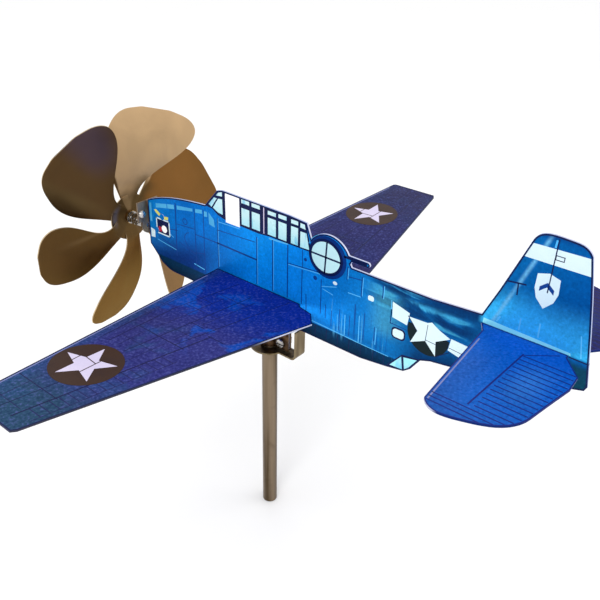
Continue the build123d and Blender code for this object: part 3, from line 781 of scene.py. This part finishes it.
def draw_nose():
    strip = [[(-110.2, 218.7), (-98.2, 221.3), (-98.2, 224.6), (-110.2, 221.9)],
             [(-97.4, 221.5), (-90.2, 222.9), (-90.2, 226.2), (-97.4, 224.8)],
             [(-87.2, 223.6), (-71.0, 226.6), (-71.0, 228.8), (-87.2, 226.6)],
             [(-68.2, 226.6), (-61.4, 227.8), (-61.4, 230.6), (-68.2, 229.4)],
             [(-59.4, 226.4), (-56.4, 226.8), (-56.4, 230.6), (-59.4, 230.2)],
             [(-117.9, 206.0), (-115.6, 206.0), (-115.2, 221.0), (-117.4, 220.4)]]
    fuselage_print("nose_highlights", strip, SHEEN)
    fairing = [[(-54.8, 222.0), (-49.4, 221.0), (-50.0, 226.6), (-55.0, 230.8)]]
    fuselage_print("fairing_highlight", fairing, SHEEN)
    plate = [[(-117.9, 192.9), (-113.6, 193.6), (-113.4, 199.6), (-117.8, 200.4)]]
    fuselage_print("nose_small_patch", plate, ICE)
    frame_part = frame_lines(-110.6, -97.0, 198.8, 210.6, 1.0)
    fuselage_print("nose_emblem_frame", frame_part, ICE, 2)
    fuselage_print("nose_emblem_field", [rectangle(-110.4, -97.2, 199.0, 210.4)], NAVY)
    fuselage_print("nose_emblem_disc", [ellipse(-102.6, 203.4, 2.9, count=24)], WHITE, 2)
    fuselage_print("nose_emblem_bar", [rectangle(-108.8, -105.6, 200.4, 204.2)], RED, 2)
    chevron = [(-112.6, 216.4), (-110.2, 217.2), (-103.6, 213.6), (-97.4, 214.4), (-97.8, 211.8),
               (-104.0, 211.2), (-109.8, 214.0)]
    fuselage_print("nose_emblem_chevron", [chevron], YELLOW, 2)


def draw_fin():
    band = [[(166.7, 272.1), (200.3, 272.1), (198.7, 280.9), (169.9, 280.2)]]
    fuselage_print("fin_band", band, ICE)
    shield = [(175.0, 265.4), (180.8, 267.2), (186.6, 265.4), (187.0, 257.6), (185.4, 252.4), (180.9, 247.6),
              (176.4, 252.4), (174.8, 257.6)]
    fuselage_print("fin_badge", [shield], ICE)
    dark = [line((181.9, 285.4), (181.5, 257.0), 0.55), line((160.8, 256.1), (170.2, 257.2), 0.8),
            line((166.5, 256.2), (166.8, 250.4), 0.7), line((199.0, 226.6), (208.6, 226.4), 0.6)]
    dark += frame_lines(182.0, 186.2, 275.2, 277.4, 0.4)
    fuselage_print("fin_lines", dark, NAVY, 3)
    chevron = [(177.2, 259.0), (180.8, 262.2), (184.6, 259.0), (184.6, 256.4), (180.8, 259.6), (177.2, 256.4)]
    fuselage_print("fin_badge_chevron", [chevron], LINE_BLUE, 2)
    root = [[(151.4, 227.5), (199.4, 227.5), (199.0, 228.9), (151.6, 230.6)]]
    fuselage_print("fin_root_strip", root, CYAN)
    pale = [line((171.2, 237.6), (171.2, 231.4), 0.8), line((181.4, 238.6), (181.6, 231.2), 0.8),
            line((202.2, 240.0), (204.4, 228.4), 0.6), line((181.0, 284.6), (180.8, 281.4), 0.9),
            line((160.2, 234.4), (159.0, 231.6), 0.9)]
    fuselage_print("fin_pale_lines", pale, PALE_BLUE)


def draw_fuselage():
    loop = outline_of("fuselage_plate", FUSELAGE[0])
    fuselage_print("fuselage_border", border(loop, 0.15, 0.75), NAVY, 4)
    draw_canopy()
    draw_turret()
    draw_insignia()
    draw_windows()
    draw_panel_lines()
    draw_nose()
    draw_fin()


# ---- wing and tailplane artwork -------------------------------------------------------------
ROUNDEL = (137.5, -12.2)


def front_edge(u):
    """The wing's leading edge at a distance from the root."""
    return -48 + 18.7 * u / SEMI_SPAN


def hinge_line(u):
    """The ailerons' and flaps' hinge line."""
    return 15.6 - 0.134 * (u - 70)


def spanwise(u1, u2, v1, v2, width):
    return line((u1, v1), (u2, v2), width)


def chordwise(u, low, high, width):
    return line((u, low), (u, high), width)


def wing_panel_lines():
    return [spanwise(70, 190, hinge_line(70), hinge_line(190), 0.75), spanwise(17, 115, -1.6, -8.3, 0.5),
            spanwise(60, 113, -26.0, -23.8, 0.55), spanwise(36, 90, 15.6, 7.0, 0.5),
            spanwise(8, 60, -20.4, -26.0, 0.4), chordwise(90.6, -23.7, 13.8, 0.6),
            chordwise(70.4, 13.5, 25.6, 0.6), chordwise(66.0, -5.5, 5.5, 0.4),
            chordwise(167.0, -30.0, 4.0, 0.5), spanwise(158, 192, -8.4, -12.0, 0.4),
            spanwise(4, 36, 21.0, 15.6, 0.4)]


def aileron_ribs():
    """Short ribs behind the hinge line, and the line along their ends."""
    places = [104.5 + 5.1 * i for i in range(16)]
    ribs = [chordwise(u, hinge_line(u) + 0.8, hinge_line(u) + 9.5, 0.5) for u in places]
    return ribs + [spanwise(102, 186, hinge_line(102) + 10.0, hinge_line(186) + 10.0, 0.4)]


def wing_fine_lines():
    return [spanwise(20, 112, front_edge(20) + 7.0, front_edge(112) + 7.0, 0.4),
            spanwise(40, 116, -35.0, -30.0, 0.35), spanwise(92, 114, -17.0, -16.4, 0.35),
            spanwise(30, 88, -13.0, -16.0, 0.35), spanwise(20, 64, 5.4, 1.6, 0.35),
            spanwise(94, 122, 2.0, 0.6, 0.35), spanwise(160, 190, -20.0, -19.0, 0.35),
            spanwise(73, 88, 3.0, 2.2, 0.35), chordwise(40.0, -42.0, -14.0, 0.35),
            chordwise(52.0, -24.0, 2.0, 0.35), chordwise(28.0, -19.0, 4.0, 0.35),
            chordwise(78.0, -8.0, 8.0, 0.35), chordwise(104.0, -23.0, 8.0, 0.3),
            chordwise(184.0, -26.0, -2.0, 0.35)]


def draw_wing(side):
    name = "port" if side > 0 else "starboard"
    faces = wing_faces(side)
    loop = outline_of(f"{name}_wing", faces[0])
    decal(f"{name}_wing_border", faces, border(loop, 0.0, 0.8), NAVY, 2)
    decal(f"{name}_wing_lines", faces, wing_panel_lines(), WING_LINE, 1)
    decal(f"{name}_wing_ribs", faces, aileron_ribs() + wing_fine_lines(), WING_RIB, 1)
    lead = [spanwise(14, 188, front_edge(14) + 1.5, front_edge(188) + 1.5, 0.8)]
    decal(f"{name}_wing_lead", faces, lead, LEAD_LIGHT, 1)
    decal(f"{name}_roundel", faces, [ellipse(*ROUNDEL, 20.6, count=64)], BROWN, 2)
    decal(f"{name}_star", faces, [star(*ROUNDEL, 17.2, -pi / 2)], LILAC, 3)
    cuts = [line((141.0, -21.2), (133.8, -21.6), 0.6), line((145.0, -8.4), (129.6, -8.8), 0.6),
            line((133.2, -18.6), (134.0, -9.4), 0.6)]
    decal(f"{name}_star_lines", faces, cuts, BROWN, 4)


def chord_at(loop, u):
    """Where the outline starts and ends at a distance from the root."""
    crossings = []
    for a, b in zip(loop, loop[1:] + loop[:1]):
        if (a.x - u) * (b.x - u) < 0:
            crossings.append(a.y + (b.y - a.y) * (u - a.x) / (b.x - a.x))
    return min(crossings), max(crossings)


def draw_tailplane(side):
    name = "port" if side > 0 else "starboard"
    faces = tail_faces(side)
    loop = outline_of(f"{name}_tailplane", faces[0])
    decal(f"{name}_tailplane_border", faces, border(loop, 0.0, 0.6), TAIL_LINE, 2)
    lines = [line((14.6, 180.8), (67.6, 178.6), 0.9), line((14.6, 181.6), (3.8, 195.0), 0.6)]
    for i in range(14):
        u = 15.6 + i * 3.95
        lines.append(line((u, 181.6), (u, chord_at(loop, u)[1] - 1.4), 0.7))
    for u in (70.4, 73.6, 76.6):
        front, back = chord_at(loop, u)
        lines.append(line((u, front + 1.4), (u, back - 1.4), 0.7))
    decal(f"{name}_tailplane_lines", faces, lines, TAIL_LINE, 1)
    light = [line((16.0, 157.4), (75.6, 162.6), 0.8)]
    decal(f"{name}_tailplane_lead", faces, light, LEAD_LIGHT, 1)


# ---- rotor axle with a real thread ------------------------------------------------------------
THREAD_DEPTH = 0.42
RUN_OUT_ROWS = 3


def threaded_bolt(name, low_y, high_y, radius, pitch, head_low, head_flats, material):
    """A bolt along Y: a helical thread between low_y and high_y, and a bevelled hexagon head in front."""
    bm = bmesh.new()
    around, rows_per_turn = 32, 8
    rows = int((high_y - low_y) / pitch * rows_per_turn)
    rings = []
    for j in range(rows + 1):
        y = low_y + (high_y - low_y) * j / rows
        ring = []
        for i in range(around):
            a = 2 * pi * i / around
            phase = ((y - low_y) / pitch - i / around) % 1.0
            run_out = min(1.0, j / RUN_OUT_ROWS, (rows - j) / RUN_OUT_ROWS)
            depth = THREAD_DEPTH * abs(phase * 2 - 1) * run_out
            r = radius - depth
            ring.append(bm.verts.new(Vector((r * sin(a), y, AXLE_Z + r * cos(a))) * MM))
        rings.append(ring)
    for near, far in zip(rings, rings[1:]):
        for i in range(around):
            k = (i + 1) % around
            bm.faces.new((near[i], near[k], far[k], far[i]))
    bm.faces.new(rings[0])
    bm.faces.new(rings[-1])
    corner = head_flats / 2 / cos(pi / 6)
    profile = [(head_low, corner * 0.86), (head_low + 0.5, corner), (low_y, corner)]
    head = []
    for y, r in profile:
        head.append([bm.verts.new(Vector((r * sin(pi / 3 * i), y, AXLE_Z + r * cos(pi / 3 * i))) * MM)
                     for i in range(6)])
    for near, far in zip(head, head[1:]):
        for i in range(6):
            k = (i + 1) % 6
            bm.faces.new((near[i], near[k], far[k], far[i]))
    bm.faces.new(head[0])
    bm.faces.new(head[-1])
    bmesh.ops.recalc_face_normals(bm, faces=bm.faces)
    mesh = bpy.data.meshes.new(name)
    bm.to_mesh(mesh)
    bm.free()
    mesh.materials.append(material)
    piece = add_object(name, mesh)
    return piece


def build_axle(material):
    low, high = node_box("axle_bolt")
    bolt = threaded_bolt("axle_bolt_threaded", low_y=low.y + 3.5, high_y=high.y, radius=2.5, pitch=0.8,
                         head_low=low.y, head_flats=8.0, material=material)
    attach(bolt, "vane")
    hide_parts("axle_bolt")


# ---- materials of the CAD nodes ---------------------------------------------------------------
def paint(names, material):
    for name in names:
        data = NODES[name].data
        data.materials.clear()
        data.materials.append(material)


def paint_hardware():
    pole = metal_material("pole_steel", srgb(148, 130, 108), srgb(76, 60, 38), 0.34, (1, 1, 0.03), 150.0,
                          offset=(0.31, 0.17, 0.0))
    strap = metal_material("bracket_metal", srgb(150, 134, 104), srgb(106, 90, 64), 0.38, (1, 1, 0.1), 300.0)
    clip = metal_material("clip_metal", srgb(126, 100, 74), srgb(64, 44, 32), 0.4, (1, 1, 1), 160.0)
    turned = metal_material("turned_steel", srgb(186, 180, 174), srgb(92, 84, 80), 0.3, (1, 1, 4), 300.0)
    brass = metal_material("bearing_brass", srgb(206, 168, 106), srgb(124, 92, 52), 0.32)
    zinc = metal_material("zinc_fasteners", srgb(232, 230, 226), srgb(146, 142, 140), 0.24)
    nose = metal_material("nose_bracket_metal", srgb(166, 148, 128), srgb(126, 106, 86), 0.42, (1, 1, 0.4),
                          180.0, 0.8)
    paint(["pole"], pole)
    paint(["swivel_bracket"], strap)
    paint(["nose_bracket"], nose)
    paint(["saddle_clip"], clip)
    paint(["pivot_plug", "pivot_pin", "bearing_sleeve", "sleeve_cap"], turned)
    paint(["thrust_washer", "rotor_bush"], brass)
    paint(["clip_screw", "clip_nut", "ear_rivet", "dome_rivet", "lock_nuts", "retaining_nut", "axle_washers",
           "axle_bolt"], zinc)
    build_axle(zinc)


def paint_sheets():
    paint(["fuselage_plate", "nose_rivets"], fuselage_material())
    port_wing = wing_material("printed_wing_port", srgb(44, 76, 102), srgb(54, 54, 128), srgb(14, 48, 156),
                              srgb(10, 82, 190))
    # painted shade: the starboard wing takes a duller violet than the port one, standing in for how
    # differently the two catch the light
    starboard_wing = wing_material("printed_wing_starboard", srgb(56, 52, 84), srgb(50, 46, 98),
                                   srgb(58, 46, 94), srgb(44, 46, 106), 0.15)
    paint(["port_wing"], port_wing)
    paint(["starboard_wing"], starboard_wing)
    painted = metal_material("painted_rivets", srgb(30, 60, 150), srgb(16, 30, 96), 0.4, metallic=0.2)
    paint(["wing_rivets", "tailplane_rivets"], painted)
    port_tail = tailplane_material("printed_tailplane_port", srgb(8, 100, 206), srgb(22, 100, 200),
                                   srgb(36, 100, 190), srgb(34, 92, 180))
    # painted shade: the starboard tailplane likewise takes a duller violet than the port one
    starboard_tail = tailplane_material("printed_tailplane_starboard", srgb(44, 38, 80), srgb(58, 46, 84),
                                        srgb(58, 46, 84), srgb(60, 44, 80), 0.1)
    paint(["port_tailplane"], port_tail)
    paint(["starboard_tailplane"], starboard_tail)
    paint(["six_blade_rotor"], bronze_material())


# ---- floor, light and camera --------------------------------------------------------------------
def build_floor():
    """A pale floor, just under the pole's foot."""
    mesh = bpy.data.meshes.new("floor")
    half = 12.0
    corners = [(-half, -half, 0), (half, -half, 0), (half, half, 0), (-half, half, 0)]
    mesh.from_pydata(corners, [], [(0, 1, 2, 3)])
    floor = add_object("floor", mesh)
    floor.location.z = -0.0005
    g = Graph("pale_floor")
    colour = g.mix(g.noise(3.0, 2.0), (0.93, 0.93, 0.93, 1), (0.95, 0.95, 0.95, 1))
    mesh.materials.append(g.finish(colour, 0.9))


def area_light(name, place, target, size, power):
    data = bpy.data.lights.new(name, "AREA")
    data.shape = "DISK"
    data.size = size
    data.energy = power
    lamp = add_object(name, data)
    lamp.location = place
    lamp.rotation_euler = (Vector(target) - Vector(place)).to_track_quat("-Z", "Y").to_euler()


def build_light():
    world = bpy.data.worlds.new("studio")
    world.use_nodes = True
    background = world.node_tree.nodes["Background"]
    background.inputs[0].default_value = (1.0, 1.0, 1.0, 1.0)
    background.inputs[1].default_value = 1.05
    bpy.context.scene.world = world
    middle = (0.0, 0.0, 0.19)
    area_light("key", (1.1, 0.45, 0.95), middle, 0.7, 7.0)
    area_light("fill", (-0.9, 0.9, 1.0), middle, 1.0, 2.5)
    bpy.context.scene.view_settings.view_transform = "Standard"


CAMERA_PLACE = (0.3178, 0.2812, 0.4310)
CAMERA_AZIMUTH = radians(128.73)
CAMERA_PITCH = radians(30.34)
CAMERA_ROLL = radians(1.285)


def build_camera():
    data = bpy.data.cameras.new("camera")
    data.sensor_width = 36.0
    data.lens = 43.66
    camera = add_object("camera", data)
    turn = Matrix.Rotation(CAMERA_AZIMUTH, 4, "Z") @ Matrix.Rotation(pi / 2 - CAMERA_PITCH, 4, "X")
    turn = turn @ Matrix.Rotation(CAMERA_ROLL, 4, "Z")
    camera.matrix_world = Matrix.Translation(CAMERA_PLACE) @ turn
    bpy.context.scene.camera = camera


paint_hardware()
paint_sheets()
draw_fuselage()
for half in (1, -1):
    draw_wing(half)
    draw_tailplane(half)
build_floor()
build_light()
build_camera()
